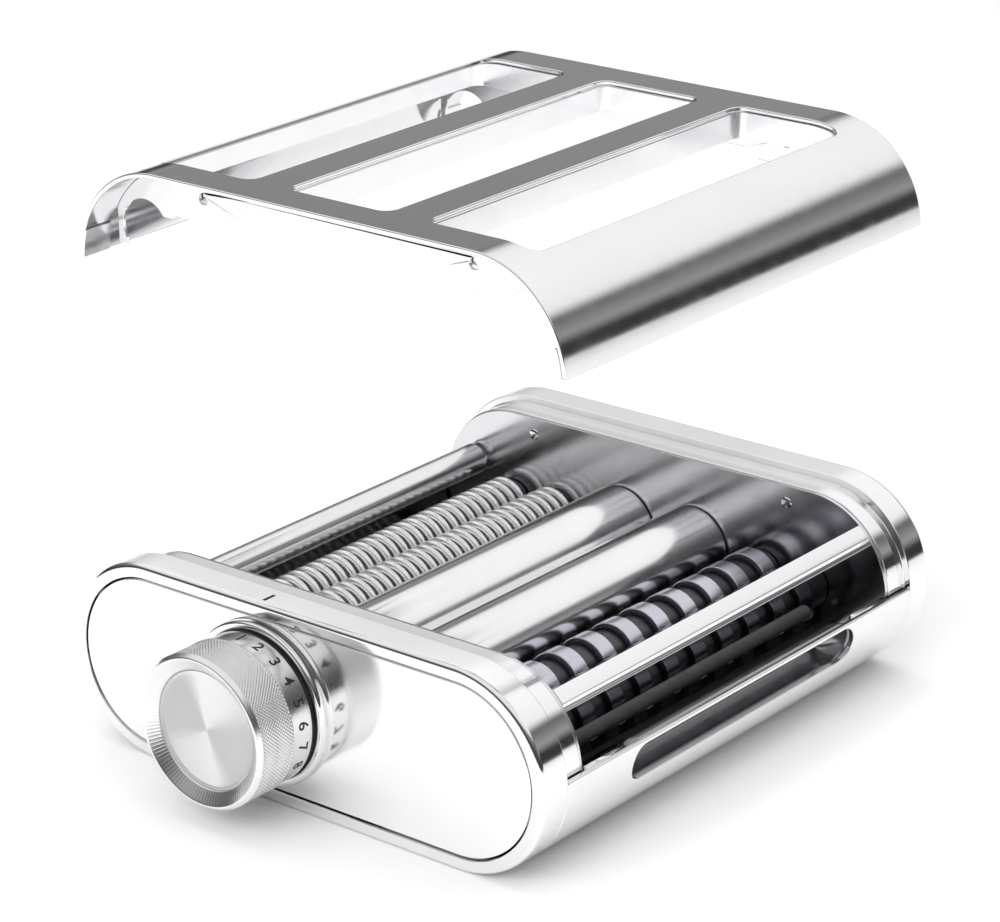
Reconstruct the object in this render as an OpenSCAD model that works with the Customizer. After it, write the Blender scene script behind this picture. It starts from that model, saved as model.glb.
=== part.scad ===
// Three-in-one pasta roller attachment with a lift-off cover.
// X runs across the rollers, Y runs along them (dial at -Y, drive hub at +Y), Z is up.
// The origin is on the underside, in the middle of the body.

/* [Body] */
// Distance from the front face to the rear face
body_length = 184.6; // [170:0.2:210]
// Height of the body, twice the radius of its rounded sides
body_height = 60; // [60:0.5:66]
// Distance between the centres of the two rounded sides
side_spacing = 113; // [113:0.5:125]
// Depth of the outer band of each end cap
band_depth = 10.3; // [9:0.1:12]
// Depth of the stepped shoulder behind each outer band
shoulder_depth = 8.2; // [8:0.1:9]
// How far the shoulder is set in from the outer band
shoulder_step = 2.3; // [2.2:0.1:2.6]
// Thickness of the formed sheet parts
sheet = 1.4; // [1.2:0.1:1.5]

/* [Rollers] */
// Radius of the two smooth rollers
smooth_r = 12.9; // [12.5:0.1:13]
// Distance of each smooth roller from the middle, dial at 0
smooth_x = 13.9; // [13.8:0.1:14.1]
// How far the adjustable roller closes over the whole dial
gap_travel = 1.6; // [1:0.1:1.7]
// Outer radius of the cutting discs
disc_r = 8.9; // [8.7:0.05:9]
// Radius of the core between the cutting discs
core_r = 7; // [6.6:0.05:7.05]
// Distance between the two axes of each cutter pair
cutter_spacing = 16.9; // [16.9:0.1:17.1]
// How far the cutters' axes lie below those of the smooth rollers
cutter_drop = 2; // [1.5:0.1:2.5]
// Pitch of the wide noodle discs
fettuccine_pitch = 13; // [12:0.5:14]
// Pitch of the narrow noodle discs
spaghetti_pitch = 4; // [3.6:0.1:4.4]

/* [Dial] */
// Distance of the dial axis from the middle
dial_x = -13.5; // [-14:0.1:-13]
// Radius of the knurled grip
grip_r = 22.8; // [21:0.1:23]
// How far the dial and the drive shaft stand out of the body
end_reach = 25.3; // [24:0.1:28]
// Turn of the dial from its first number to its last
dial_range = 119; // [105:1:140]

/* [Cover] */
// Height of the lifted cover above its seat
cover_lift = 112; // [80:1:120]
// Width of each feed slot
slot_width = 36; // [30:0.5:36]
// Length of each feed slot
slot_length = 139; // [120:1:139]
// Distance between neighbouring feed slots
slot_spacing = 49; // [48.5:0.5:49]
// Depth of the chute walls below the cover's top
chute_depth = 9; // [6:0.5:10]

/* [Gears] */
// Gear module
gear_module = 1.3; // [1.3:0.1:1.3]
// Teeth of the smooth roller gears
roller_teeth = 20; // [20:1:20]
// Teeth of the driving gear
drive_teeth = 24; // [24:1:24]
// Teeth of the gears that drive the cutters
cutter_teeth = 16; // [16:1:16]
// Teeth of the gears that pair two cutters
pair_teeth = 13; // [13:1:13]
// Teeth of the idler gear
idler_teeth = 22; // [22:1:22]

/* [Hidden] */
$fn = 72;

// Shared sizes of the body
round_r = body_height / 2;                 // radius of the rounded sides
mid_z = round_r;                           // height of every roller axis
side_x = side_spacing / 2;                 // centre of each rounded side
end_y = body_length / 2;                   // front and rear faces
band_y = end_y - band_depth;               // inner edge of each outer band
plate_back_y = band_y - shoulder_depth;    // outer face of each wall plate
plate_t = 1.2;
plate_y = plate_back_y - plate_t;          // inner face of each wall plate
shoulder_r = round_r - shoulder_step;
cavity_r = shoulder_r - 3.3;               // inside of the gear housings
rim = 4.1;                                 // width of the bright rim around a face panel
rim_bevel = 1.6;
panel_gap = 0.3;
panel_r = round_r - rim - panel_gap;
panel_front_y = end_y - 0.3;
panel_t = 1.8;
panel_back_y = panel_front_y - panel_t;
fit_gap = 0.06;                            // radial clearance of a running fit
seat_gap = 0.02;                           // radial clearance of a fixed part in its hole
slack = 0.4;                               // gap between neighbouring bodies

// Roller positions, journals and bushes
cutter_z = mid_z - cutter_drop;
drive_to_cutter = gear_module * (drive_teeth + cutter_teeth) / 2;
near_x = smooth_x + sqrt(drive_to_cutter * drive_to_cutter - cutter_drop * cutter_drop);
far_x = near_x + cutter_spacing;
journal_r = 4;
bush_r = 6;
bush_y = plate_y + 3.9;                     // outer ends of the bushes
journal_y = bush_y + 0.5;                  // front ends of the journals
roller_y = plate_y - slack;                // half length of the rollers
fettuccine_disc = fettuccine_pitch / 2 - slack;
spaghetti_disc = spaghetti_pitch / 2 - slack;
strip_drop = 18;                           // combs and scrapers hang this far below the axes

// Gear layers behind the rear wall plate, and tooth shape
carrier_y0 = plate_back_y + 0.5;
carrier_t = 3;
layer1_y = carrier_y0 + carrier_t + 0.5;
layer_t = 4.8;
layer2_y = layer1_y + layer_t + 0.6;
layer_end_y = layer2_y + layer_t;
addendum = 0.85 * gear_module;
dedendum = 1.15 * gear_module;
backlash = 0.3;
pressure_angle = 20;

// The idler touches the driving gear and the near spaghetti gear
idler_a = gear_module * (drive_teeth + idler_teeth) / 2;
idler_b = gear_module * (idler_teeth + cutter_teeth) / 2;
idler_lean = atan2(cutter_drop, smooth_x + near_x);
idler_span = sqrt(pow(smooth_x + near_x, 2) + cutter_drop * cutter_drop);
idler_along = (idler_a * idler_a - idler_b * idler_b + idler_span * idler_span) / (2 * idler_span);
idler_drop = sqrt(idler_a * idler_a - idler_along * idler_along);
idler_x = smooth_x - idler_along * cos(idler_lean) + idler_drop * sin(idler_lean);
idler_z = mid_z - idler_along * sin(idler_lean) - idler_drop * cos(idler_lean);
idler_bore = 3;
drive_to_idler = 180 + atan2(mid_z - idler_z, smooth_x - idler_x);
idler_to_cutter = 180 - atan2(cutter_z - idler_z, near_x + idler_x);

// Angle of a tooth on gear b that lets it mesh with gear a in the direction given
function meshed(phase_a, teeth_a, teeth_b, direction) =
    direction + 180 + 180 / teeth_b - (phase_a - direction) * teeth_a / teeth_b;

roller_phase = meshed(0, roller_teeth, roller_teeth, 180);
fettuccine_phase = meshed(0, drive_teeth, cutter_teeth, -asin(cutter_drop / drive_to_cutter));
idler_phase = meshed(0, drive_teeth, idler_teeth, drive_to_idler);
spaghetti_phase = meshed(idler_phase, idler_teeth, cutter_teeth, idler_to_cutter);
right_pair_phase = meshed(0, pair_teeth, pair_teeth, 0);
left_pair_phase = meshed(0, pair_teeth, pair_teeth, 180);

// Carrier of the adjustable roller, moved by an eccentric on the dial shaft
pocket_depth = 4;
carrier_w = 20;
carrier_top = mid_z + 10;
carrier_bottom = 8.5;
carrier_web = 1;                           // between the eccentric's pocket and the carrier's plate
carrier_front_y = -carrier_y0 - carrier_t - pocket_depth - carrier_web;
link_z = 12.5;
link_r = 2.2;
eccentric_r = 6;
eccentric_start = 180 + (180 - dial_range) / 2;
eccentric_e = gap_travel / 2 / cos((180 - dial_range) / 2);
pocket_play = 0.25;                        // beside the eccentric
pocket_rise = 1.4;                         // room for the eccentric's swing, below
pocket_head = 1;                           // room for the eccentric's swing, above

// Dial, measured outwards from the front face
dial_front_y = -end_y - end_reach;
grip_back_y = -end_y - 11;
scale_back_y = -end_y - 3.5;
base_ring_y = -end_y - 2.5;
base_ring_r = 24.5;
base_ring_bore = 20;
scale_r = grip_r - 0.6;
face_r = 17.8;
face_depth = 2.8;                          // the spun disc lies this far behind the dial's rim
face_back = 4.5;
dish_flare = 3.3;                          // how much wider the dish is at its mouth
mark_y = -end_y + 2.6;                     // front end of the index mark
mark_size = [1, 4.3, 0.1];

// Drive hub
hub_r = 15.75;
hub_y = end_y + 14;
hub_shaft_r = 6;
square_af = 9.4;

// Cover, drawn on its seat and lifted last
cover_y = band_y - 0.2;
cover_inner_r = round_r - sheet;
shell_top_z = mid_z + 1;
cover_bottom_z = shell_top_z + 0.2;
rib_y = plate_y - 1.8;
rib_t = 1;
rib_flat_z = mid_z + 16;                   // lower edge of the ribs
foot_h = 8;
foot_l = 10;
foot_t = 0.6;
stud_z = mid_z + 22;
stud_x = 48;
stud_r = 1.9;
stud_h = 0.7;

// Lower shell and its finger window
shell_wall = 1.8;
shell_inner_r = round_r - shell_wall;
window_half = 53;
pocket_x = side_x + 20;                    // back of the finger pocket
window_top_z = 29.6;
window_bottom_z = 18.6;
hem_t = 2;
hem_h = 3;
outlet_width = slot_width - 8;
outlet_corner = 5;

// Bars between the two wall plates
left_rail_x = -side_x - 14.5;
left_rail_z = mid_z + 9.3;
left_rail_r = 5;
left_rail_bore = 3.6;
right_rail_t = 1.2;
tie_rod_z = mid_z - 16;
tie_rod_r = 3;
guard_x = side_x + 15.5;
guard_z = mid_z + 1.5;
guard_r = 2.1;
guard_short = 24;                          // the guard rod ends this far before the rear plate
scraper_reach = 8.6;
scraper_t = 1;
plug_r = smooth_r - 2.5;
plug_t = 3;
pair_boss_r = 7;

module along_y(y0, y1) {
    // A flat shape drawn in x and z, standing from y0 to y1
    translate([0, y1, 0]) rotate([90, 0, 0]) linear_extrude(y1 - y0) children();
}

module oval(r) {
    // Cross section of the body at radius r
    translate([-side_x, mid_z - r]) square([side_spacing, 2 * r]);
    for (side = [-1, 1]) translate([side * side_x, mid_z]) circle(r);
}

module oval_prism(r, y0, y1) {
    along_y(y0, y1) oval(r);
}

module rod(x, z, r, y0, y1) {
    translate([x, y1, z]) rotate([90, 0, 0]) cylinder(r = r, h = y1 - y0);
}

module tube(x, z, outer, inner, y0, y1) {
    difference() {
        rod(x, z, outer, y0, y1);
        rod(x, z, inner, y0 - 1, y1 + 1);
    }
}

module long_hole(x, z, r, travel, y0, y1) {
    // Round hole stretched along +X
    rod(x, z, r, y0, y1);
    rod(x + travel, z, r, y0, y1);
    translate([x, y0, z - r]) cube([travel, y1 - y0, 2 * r]);
}

module above(z) {
    translate([-2 * side_spacing, -2 * body_length, z])
        cube([4 * side_spacing, 4 * body_length, 10 * body_height]);
}

module round_slot(width, length, corner) {
    // Rounded rectangle in plan
    square([width - 2 * corner, length], center = true);
    square([width, length - 2 * corner], center = true);
    for (sx = [-1, 1], sy = [-1, 1])
        translate([sx * (width / 2 - corner), sy * (length / 2 - corner)]) circle(corner);
}

// ---------- end caps ----------

module bevel_side(side, ro) {
    // Round part of the beveled rim, as a ring turned about one side's centre
    translate([side * side_x, -end_y, mid_z]) rotate([-90, 0, 0]) rotate_extrude()
        polygon([[ro - rim_bevel, 0], [ro + 1, 0], [ro + 1, rim_bevel + 1], [ro, rim_bevel]]);
}

module rim_bevel_cut() {
    for (side = [-1, 1]) intersection() {
        bevel_side(side, round_r);
        translate([side > 0 ? side_x : -side_x - 2 * round_r, -end_y - 1, -round_r])
            cube([2 * round_r, 2 * rim_bevel + 4, 4 * round_r]);
    }
    for (flip = [0, 1]) translate([0, 0, flip * body_height]) mirror([0, 0, flip])
        translate([-side_x, 0, 0]) rotate([90, 0, 90]) linear_extrude(side_spacing)
            polygon([
                [-end_y, -1], [-end_y, rim_bevel], [-end_y + rim_bevel, 0], [-end_y + rim_bevel + 1, -1]
            ]);
}

module end_cap() {
    // Front end cap; the rear one is its mirror image
    difference() {
        union() {
            oval_prism(round_r, -end_y, -band_y);
            oval_prism(shoulder_r, -band_y - 1, -plate_back_y);
        }
        oval_prism(cavity_r, -end_y - 1, -plate_back_y + 1);
        oval_prism(round_r - rim, -end_y - 1, -panel_back_y);
        rim_bevel_cut();
    }
}

module front_end_cap() {
    color("silver") end_cap();
}

module rear_end_cap() {
    color("silver") mirror([0, 1, 0]) end_cap();
}

module front_face_panel() {
    color("white") difference() {
        oval_prism(panel_r, -panel_front_y, -panel_back_y);
        rod(dial_x, mid_z, journal_r + 2, -end_y, -panel_back_y + 1);
    }
}

module rear_face_panel() {
    color("white") difference() {
        oval_prism(panel_r, panel_back_y, panel_front_y);
        rod(smooth_x, mid_z, hub_shaft_r + 1, panel_back_y - 1, end_y);
    }
}

module wall_plate_holes(y0, y1) {
    for (x = [-far_x, -near_x, near_x, far_x]) rod(x, cutter_z, bush_r + seat_gap, y0, y1);
    rod(smooth_x, mid_z, bush_r + seat_gap, y0, y1);
    long_hole(-smooth_x, mid_z, journal_r + slack, gap_travel, y0, y1);
    long_hole(-smooth_x, link_z, link_r + slack, gap_travel, y0, y1);
}

module front_wall_plate() {
    color("gainsboro") difference() {
        oval_prism(shoulder_r - 0.3, -plate_back_y, -plate_y);
        wall_plate_holes(-plate_back_y - 1, -plate_y + 1);
    }
}

module rear_wall_plate() {
    color("gainsboro") difference() {
        oval_prism(shoulder_r - 0.3, plate_y, plate_back_y);
        wall_plate_holes(plate_y - 1, plate_back_y + 1);
    }
}

module bushes() {
    for (x = [-far_x, -near_x, near_x, far_x])
        tube(x, cutter_z, bush_r, journal_r + fit_gap, plate_y, bush_y);
    tube(smooth_x, mid_z, bush_r, journal_r + fit_gap, plate_y, bush_y);
}

module front_bushes() {
    color("goldenrod") mirror([0, 1, 0]) bushes();
}

module rear_bushes() {
    color("goldenrod") bushes();
}

module detent_studs() {
    // Dome studs that the cover's ribs snap over
    dome_r = (stud_r * stud_r + stud_h * stud_h) / (2 * stud_h);
    for (side = [-1, 1]) intersection() {
        translate([side * stud_x, -plate_y + stud_h - dome_r, stud_z]) sphere(dome_r);
        rod(side * stud_x, stud_z, stud_r + 1, -plate_y, -plate_y + stud_h + 1);
    }
}

module front_detent_studs() {
    color("silver") detent_studs();
}

module rear_detent_studs() {
    color("silver") mirror([0, 1, 0]) detent_studs();
}

module index_mark() {
    // Raised line on top of the front band that the dial is read against
    color("black") translate([dial_x - mark_size[0] / 2, mark_y, body_height]) cube(mark_size);
}

module dial_base_ring() {
    color("silver") tube(dial_x, mid_z, base_ring_r, base_ring_bore, base_ring_y, -panel_front_y);
}

module hub_sleeve() {
    color("silver") tube(smooth_x, mid_z, hub_r, hub_shaft_r + fit_gap, panel_front_y, hub_y);
}

module idler_pin() {
    color("gray") {
        rod(idler_x, idler_z, idler_bore, layer2_y + 0.2, panel_back_y);
        rod(idler_x, idler_z, idler_bore + 3, layer_end_y + slack, panel_back_y);
    }
}

// ---------- lower shell and bars ----------

module window_shape(grow) {
    // Finger window seen from the side, with round ends
    height = window_top_z - window_bottom_z + 2 * grow;
    half = window_half + grow;
    middle = (window_top_z + window_bottom_z) / 2;
    translate([0, -half + height / 2, middle - height / 2])
        cube([2 * round_r, 2 * half - height, height]);
    for (side = [-1, 1]) translate([0, side * (half - height / 2), middle])
        rotate([0, 90, 0]) cylinder(d = height, h = 2 * round_r);
}

module outlet(x) {
    translate([x, 0, -1]) linear_extrude(shell_wall + 2)
        round_slot(outlet_width, slot_length, outlet_corner);
}

module shell_hems() {
    // Turned-in hem along both upper edges, open where the finger pocket sits
    difference() {
        for (side = [-1, 1])
            translate([side * (side_x + shell_inner_r + 0.3 - hem_t / 2), 0, shell_top_z - hem_h / 2])
                cube([hem_t, 2 * (plate_y - 1), hem_h], center = true);
        translate([side_x, 0, 0]) window_shape(sheet + 0.1);
    }
}

module lower_shell() {
    color("lightgray") difference() {
        union() {
            difference() {
                oval_prism(round_r, -band_y, band_y);
                oval_prism(shell_inner_r, -band_y - 1, band_y + 1);
                above(shell_top_z);
            }
            shell_hems();
        }
        for (x = [-slot_spacing, 0, slot_spacing]) outlet(x);
        translate([side_x, 0, 0]) window_shape(0);
    }
}

module grip_pocket() {
    // Closed finger pocket behind the window
    color("dimgray") difference() {
        intersection() {
            translate([pocket_x - sheet, 0, 0]) window_shape(sheet);
            oval_prism(shell_inner_r - 0.1, -band_y, band_y);
        }
        translate([pocket_x, 0, 0]) window_shape(0);
    }
}

module left_rail() {
    color("silver") tube(left_rail_x, left_rail_z, left_rail_r, left_rail_bore, -plate_y, plate_y);
}

module arc_strip(outer, thick, from, to) {
    // Strip bent around the right side's centre, between two angles
    reach = 2 * outer;
    translate([side_x, 0, mid_z]) intersection() {
        tube(0, 0, outer, outer - thick, -plate_y, plate_y);
        along_y(-plate_y, plate_y) polygon([
            [0, 0], [reach * cos(from), reach * sin(from)], [reach * cos(to), reach * sin(to)]
        ]);
    }
}

module right_rail() {
    // Strip bent to the curve of the right side, joggled inward along its lower edge
    color("silver") {
        arc_strip(shoulder_r - 0.2, right_rail_t, 39.7, 50.5);
        arc_strip(shoulder_r - 1, right_rail_t, 36, 40.5);
    }
}

module tie_rod(x) {
    rod(x, tie_rod_z, tie_rod_r, -plate_y, plate_y);
}

module tie_rod_left() {
    color("silver") tie_rod(-side_x - 13);
}

module tie_rod_right() {
    color("silver") tie_rod(side_x + 8);
}

module guard_rod() {
    // Dark rod below the right rail, carried by the front wall plate
    color("dimgray") rod(guard_x, guard_z, guard_r, -plate_y, plate_y - guard_short);
}

module comb(x, pitch, disc, shift) {
    // Bar with a finger in every groove of the cutter above it
    finger = pitch - disc - 2 * slack;
    count = floor((roller_y - 2) / pitch);
    top = cutter_z - core_r - 0.6;
    bar_top = mid_z - strip_drop + 3;
    union() {
        translate([x - 2, -plate_y, mid_z - strip_drop]) cube([4, 2 * plate_y, 3]);
        for (i = [-count : count - 1])
            translate([x - 1.5, (i + 0.5) * pitch + shift - finger / 2, bar_top - 0.5])
                cube([3, finger, top - bar_top + 0.5]);
    }
}

module spaghetti_comb_left() {
    color("gray") comb(-far_x, spaghetti_pitch, spaghetti_disc, 0);
}

module spaghetti_comb_right() {
    color("gray") comb(-near_x, spaghetti_pitch, spaghetti_disc, spaghetti_pitch / 2);
}

module fettuccine_comb_left() {
    color("gray") comb(near_x, fettuccine_pitch, fettuccine_disc, 0);
}

module fettuccine_comb_right() {
    color("gray") comb(far_x, fettuccine_pitch, fettuccine_disc, fettuccine_pitch / 2);
}

module scraper() {
    // Thin blade that peels the sheet off a smooth roller
    bottom = mid_z - strip_drop - 3;
    top = mid_z - sqrt(pow(smooth_r + 0.5, 2) - scraper_reach * scraper_reach);
    translate([smooth_x + scraper_reach, -plate_y, bottom]) cube([scraper_t, 2 * plate_y, top - bottom]);
}

module scraper_left() {
    color("gray") mirror([1, 0, 0]) scraper();
}

module scraper_right() {
    color("gray") scraper();
}

// ---------- gears ----------

function involute(angle) = tan(angle) * 180 / PI - angle;

function half_tooth(r, pitch_r, teeth) =
    // Half the angle that a tooth takes up at radius r
    let (base = pitch_r * cos(pressure_angle))
    let (at_pitch = 90 / teeth - backlash / 2 / pitch_r * 180 / PI)
    at_pitch + involute(pressure_angle) - involute(acos(min(1, base / r)));

module gear_shape(teeth, phase, long = 0) {
    pitch_r = gear_module * teeth / 2;
    radii = [pitch_r - dedendum - long, pitch_r - 0.4 * gear_module, pitch_r, pitch_r + addendum + long];
    base = pitch_r * cos(pressure_angle);
    polygon([
        for (i = [0 : teeth - 1], side = [-1, 1], k = [0 : 3])
            let (r = radii[side < 0 ? k : 3 - k])
            let (a = phase + i * 360 / teeth + side * half_tooth(max(r, base), pitch_r, teeth))
            [r * cos(a), r * sin(a)]
    ]);
}

module gear(x, z, teeth, phase, y0, bore, long = 0) {
    difference() {
        translate([x, y0 + layer_t, z]) rotate([90, 0, 0]) linear_extrude(layer_t)
            gear_shape(teeth, phase, long);
        rod(x, z, bore, y0 - 1, y0 + layer_t + 1);
    }
}

// ---------- drive ----------

module roller_tube(x) {
    tube(x, mid_z, smooth_r, plug_r, -roller_y, roller_y);
}

module roller_plugs(x) {
    for (y = [-roller_y, roller_y - plug_t]) rod(x, mid_z, plug_r - seat_gap, y, y + plug_t);
}

module drive_roller() {
    color("silver") roller_tube(smooth_x);
}

module drive_shaft() {
    color("gray") {
        rod(smooth_x, mid_z, journal_r, -journal_y, layer_end_y + 0.2);
        roller_plugs(smooth_x);
        rod(smooth_x, mid_z, hub_shaft_r, layer_end_y + 0.2, hub_y + 0.5);
        translate([smooth_x - square_af / 2, hub_y + 0.5, mid_z - square_af / 2])
            cube([square_af, end_reach + end_y - hub_y - 0.5, square_af]);
    }
}

module drive_pinion() {
    color("gray") gear(smooth_x, mid_z, roller_teeth, 0, layer1_y, journal_r + seat_gap, 0.25);
}

module drive_gear() {
    color("gray") gear(smooth_x, mid_z, drive_teeth, 0, layer2_y, journal_r + seat_gap);
}

module idler_gear() {
    color("gray") gear(idler_x, idler_z, idler_teeth, idler_phase, layer2_y, idler_bore + fit_gap);
}

// ---------- adjustable roller ----------

module front_carrier() {
    front_y = carrier_front_y;
    pocket_x0 = dial_x - gap_travel / 2 - eccentric_r - pocket_play;
    pocket_h = 2 * eccentric_r + pocket_rise + pocket_head;
    color("gray") difference() {
        translate([-smooth_x - carrier_w / 2, front_y, carrier_bottom])
            cube([carrier_w, -carrier_y0 - front_y, carrier_top - carrier_bottom]);
        rod(-smooth_x, mid_z, journal_r + fit_gap, front_y - 1, -carrier_y0 + 1);
        rod(-smooth_x, link_z, link_r + seat_gap, front_y - 1, -carrier_y0 + 1);
        translate([pocket_x0, front_y - 1, mid_z - eccentric_r - pocket_rise])
            cube([2 * (eccentric_r + pocket_play), pocket_depth + 1, pocket_h]);
    }
}

module rear_carrier() {
    color("gray") difference() {
        translate([-smooth_x - carrier_w / 2, carrier_y0, carrier_bottom])
            cube([carrier_w, carrier_t, carrier_top - carrier_bottom]);
        rod(-smooth_x, mid_z, journal_r + fit_gap, carrier_y0 - 1, carrier_y0 + carrier_t + 1);
        rod(-smooth_x, link_z, link_r + seat_gap, carrier_y0 - 1, carrier_y0 + carrier_t + 1);
    }
}

module carrier_link_bar() {
    color("gray") rod(-smooth_x, link_z, link_r, -carrier_y0 - carrier_t, carrier_y0 + carrier_t);
}

module adjustable_roller() {
    color("silver") roller_tube(-smooth_x);
}

module adjustable_shaft() {
    color("gray") {
        rod(-smooth_x, mid_z, journal_r, -carrier_y0 - carrier_t, layer1_y + layer_t);
        roller_plugs(-smooth_x);
    }
}

module adjustable_gear() {
    color("gray") gear(-smooth_x, mid_z, roller_teeth, roller_phase, layer1_y, journal_r + seat_gap, 0.25);
}

// ---------- cutters ----------

module cutter(x, pitch, disc, shift, rear_y) {
    // Core, two journals and a row of discs
    count = floor((roller_y - disc / 2) / pitch);
    rod(x, cutter_z, core_r, -roller_y, roller_y);
    rod(x, cutter_z, journal_r, -journal_y, rear_y);
    for (i = [-count : count]) if (abs(i * pitch + shift) + disc / 2 <= roller_y)
        rod(x, cutter_z, disc_r, i * pitch + shift - disc / 2, i * pitch + shift + disc / 2);
}

module spaghetti_cutter_left() {
    color("silver") cutter(-far_x, spaghetti_pitch, spaghetti_disc, 0, layer1_y + layer_t);
}

module spaghetti_gear_left() {
    color("gray") gear(-far_x, cutter_z, pair_teeth, left_pair_phase, layer1_y, journal_r + seat_gap);
}

module spaghetti_cutter_right() {
    color("silver") cutter(-near_x, spaghetti_pitch, spaghetti_disc, spaghetti_pitch / 2, layer_end_y);
}

module spaghetti_gears_right() {
    color("gray") {
        gear(-near_x, cutter_z, pair_teeth, 0, layer1_y, journal_r + seat_gap);
        tube(-near_x, cutter_z, pair_boss_r, journal_r + seat_gap, layer1_y + layer_t, layer2_y);
        gear(-near_x, cutter_z, cutter_teeth, spaghetti_phase, layer2_y, journal_r + seat_gap);
    }
}

module fettuccine_cutter_left() {
    color("silver") cutter(near_x, fettuccine_pitch, fettuccine_disc, 0, layer_end_y);
}

module fettuccine_gears_left() {
    color("gray") {
        gear(near_x, cutter_z, pair_teeth, 0, layer1_y, journal_r + seat_gap);
        tube(near_x, cutter_z, pair_boss_r, journal_r + seat_gap, layer1_y + layer_t, layer2_y);
        gear(near_x, cutter_z, cutter_teeth, fettuccine_phase, layer2_y, journal_r + seat_gap);
    }
}

module fettuccine_cutter_right() {
    color("silver")
        cutter(far_x, fettuccine_pitch, fettuccine_disc, fettuccine_pitch / 2, layer1_y + layer_t);
}

module fettuccine_gear_right() {
    color("gray") gear(far_x, cutter_z, pair_teeth, right_pair_phase, layer1_y, journal_r + seat_gap);
}

// ---------- dial ----------

module dial_shaft() {
    // Shaft through the face panel, with the eccentric that moves the carrier
    e_x = dial_x + eccentric_e * cos(eccentric_start);
    e_z = mid_z + eccentric_e * sin(eccentric_start);
    color("gray") {
        rod(dial_x, mid_z, journal_r, grip_back_y - 6, carrier_front_y - 1);
        rod(e_x, e_z, eccentric_r, carrier_front_y - 1, carrier_front_y + pocket_depth - slack);
    }
}

module dial_grip() {
    // Knurled cup that slides on the shaft
    color("silver") difference() {
        rod(dial_x, mid_z, grip_r, dial_front_y, grip_back_y);
        rod(dial_x, mid_z, face_r, dial_front_y, dial_front_y + face_back);
        translate([dial_x, dial_front_y - 0.01, mid_z]) rotate([-90, 0, 0])
            cylinder(r1 = face_r + dish_flare, r2 = face_r, h = face_depth);
        rod(dial_x, mid_z, journal_r + fit_gap, dial_front_y + face_back - 1, grip_back_y + 1);
    }
}

module dial_face() {
    // Spun metal disc set into the front of the grip
    color("gainsboro")
        rod(dial_x, mid_z, face_r - seat_gap, dial_front_y + face_depth, dial_front_y + face_back);
}

module dial_scale() {
    color("lightgray") tube(dial_x, mid_z, scale_r, journal_r + 1, grip_back_y, scale_back_y);
}

// ---------- cover ----------

module cover_slots(grow) {
    for (x = [-slot_spacing, 0, slot_spacing]) translate([x, 0, mid_z])
        linear_extrude(body_height) round_slot(slot_width + 2 * grow, slot_length + 2 * grow, 4 + grow);
}

module cover_shell() {
    color("silver") translate([0, 0, cover_lift]) difference() {
        intersection() {
            difference() {
                oval_prism(round_r, -cover_y, cover_y);
                oval_prism(cover_inner_r, -cover_y - 1, cover_y + 1);
            }
            above(cover_bottom_z);
        }
        cover_slots(0);
    }
}

module rib_shape() {
    // End rib: a plate under the cover's roof that clears the rollers and rails below
    flat_z = rib_flat_z;
    intersection() {
        oval(cover_inner_r - seat_gap);
        difference() {
            polygon([
                [-side_x - 25, mid_z + 3.5], [-side_x - 22, mid_z + 3.5], [-side_x - 22, mid_z + 14],
                [-side_x - 4, mid_z + 14], [-side_x - 2, flat_z - 1], [-38, flat_z - 1], [-34, flat_z + 2],
                [34, flat_z + 2], [38, flat_z - 1], [side_x + 3, flat_z - 1], [side_x + 10, flat_z + 4],
                [side_x + 12, 2 * round_r], [-side_x - 25, 2 * round_r]
            ]);
            translate([left_rail_x, left_rail_z]) circle(left_rail_r + 3.5);
            for (side = [-1, 1]) translate([side * stud_x, stud_z]) circle(stud_r - 0.3);
        }
    }
}

module cover_rib(y0) {
    translate([0, 0, cover_lift]) along_y(y0, y0 + rib_t) rib_shape();
}

module cover_rib_front() {
    color("gainsboro") cover_rib(-rib_y);
}

module cover_rib_rear() {
    color("gainsboro") cover_rib(rib_y - rib_t);
}

module feed_chute(x) {
    // Four walls hanging below one feed slot
    floor_z = body_height - chute_depth;
    translate([0, 0, cover_lift]) intersection() {
        oval_prism(cover_inner_r, -cover_y, cover_y);
        translate([x, 0, floor_z]) linear_extrude(chute_depth) difference() {
            round_slot(slot_width, slot_length, 4);
            round_slot(slot_width - 2, slot_length - 2, 3);
        }
    }
}

module feed_chute_left() {
    color("gainsboro") feed_chute(-slot_spacing);
}

module feed_chute_middle() {
    color("gainsboro") feed_chute(0);
}

module feed_chute_right() {
    color("gainsboro") feed_chute(slot_spacing);
}

module cover_feet(side) {
    // Thickened lip at both lower corners of one side
    foot_z = cover_bottom_z + foot_h / 2;
    translate([0, 0, cover_lift]) intersection() {
        difference() {
            oval_prism(cover_inner_r, -cover_y, cover_y);
            oval_prism(cover_inner_r - foot_t, -cover_y - 1, cover_y + 1);
        }
        for (end = [-1, 1])
            translate([side * (side_x + round_r), end * (cover_y - foot_l / 2), foot_z])
                cube([round_r, foot_l, foot_h], center = true);
    }
}

module cover_feet_left() {
    color("gainsboro") cover_feet(-1);
}

module cover_feet_right() {
    color("gainsboro") cover_feet(1);
}

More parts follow.
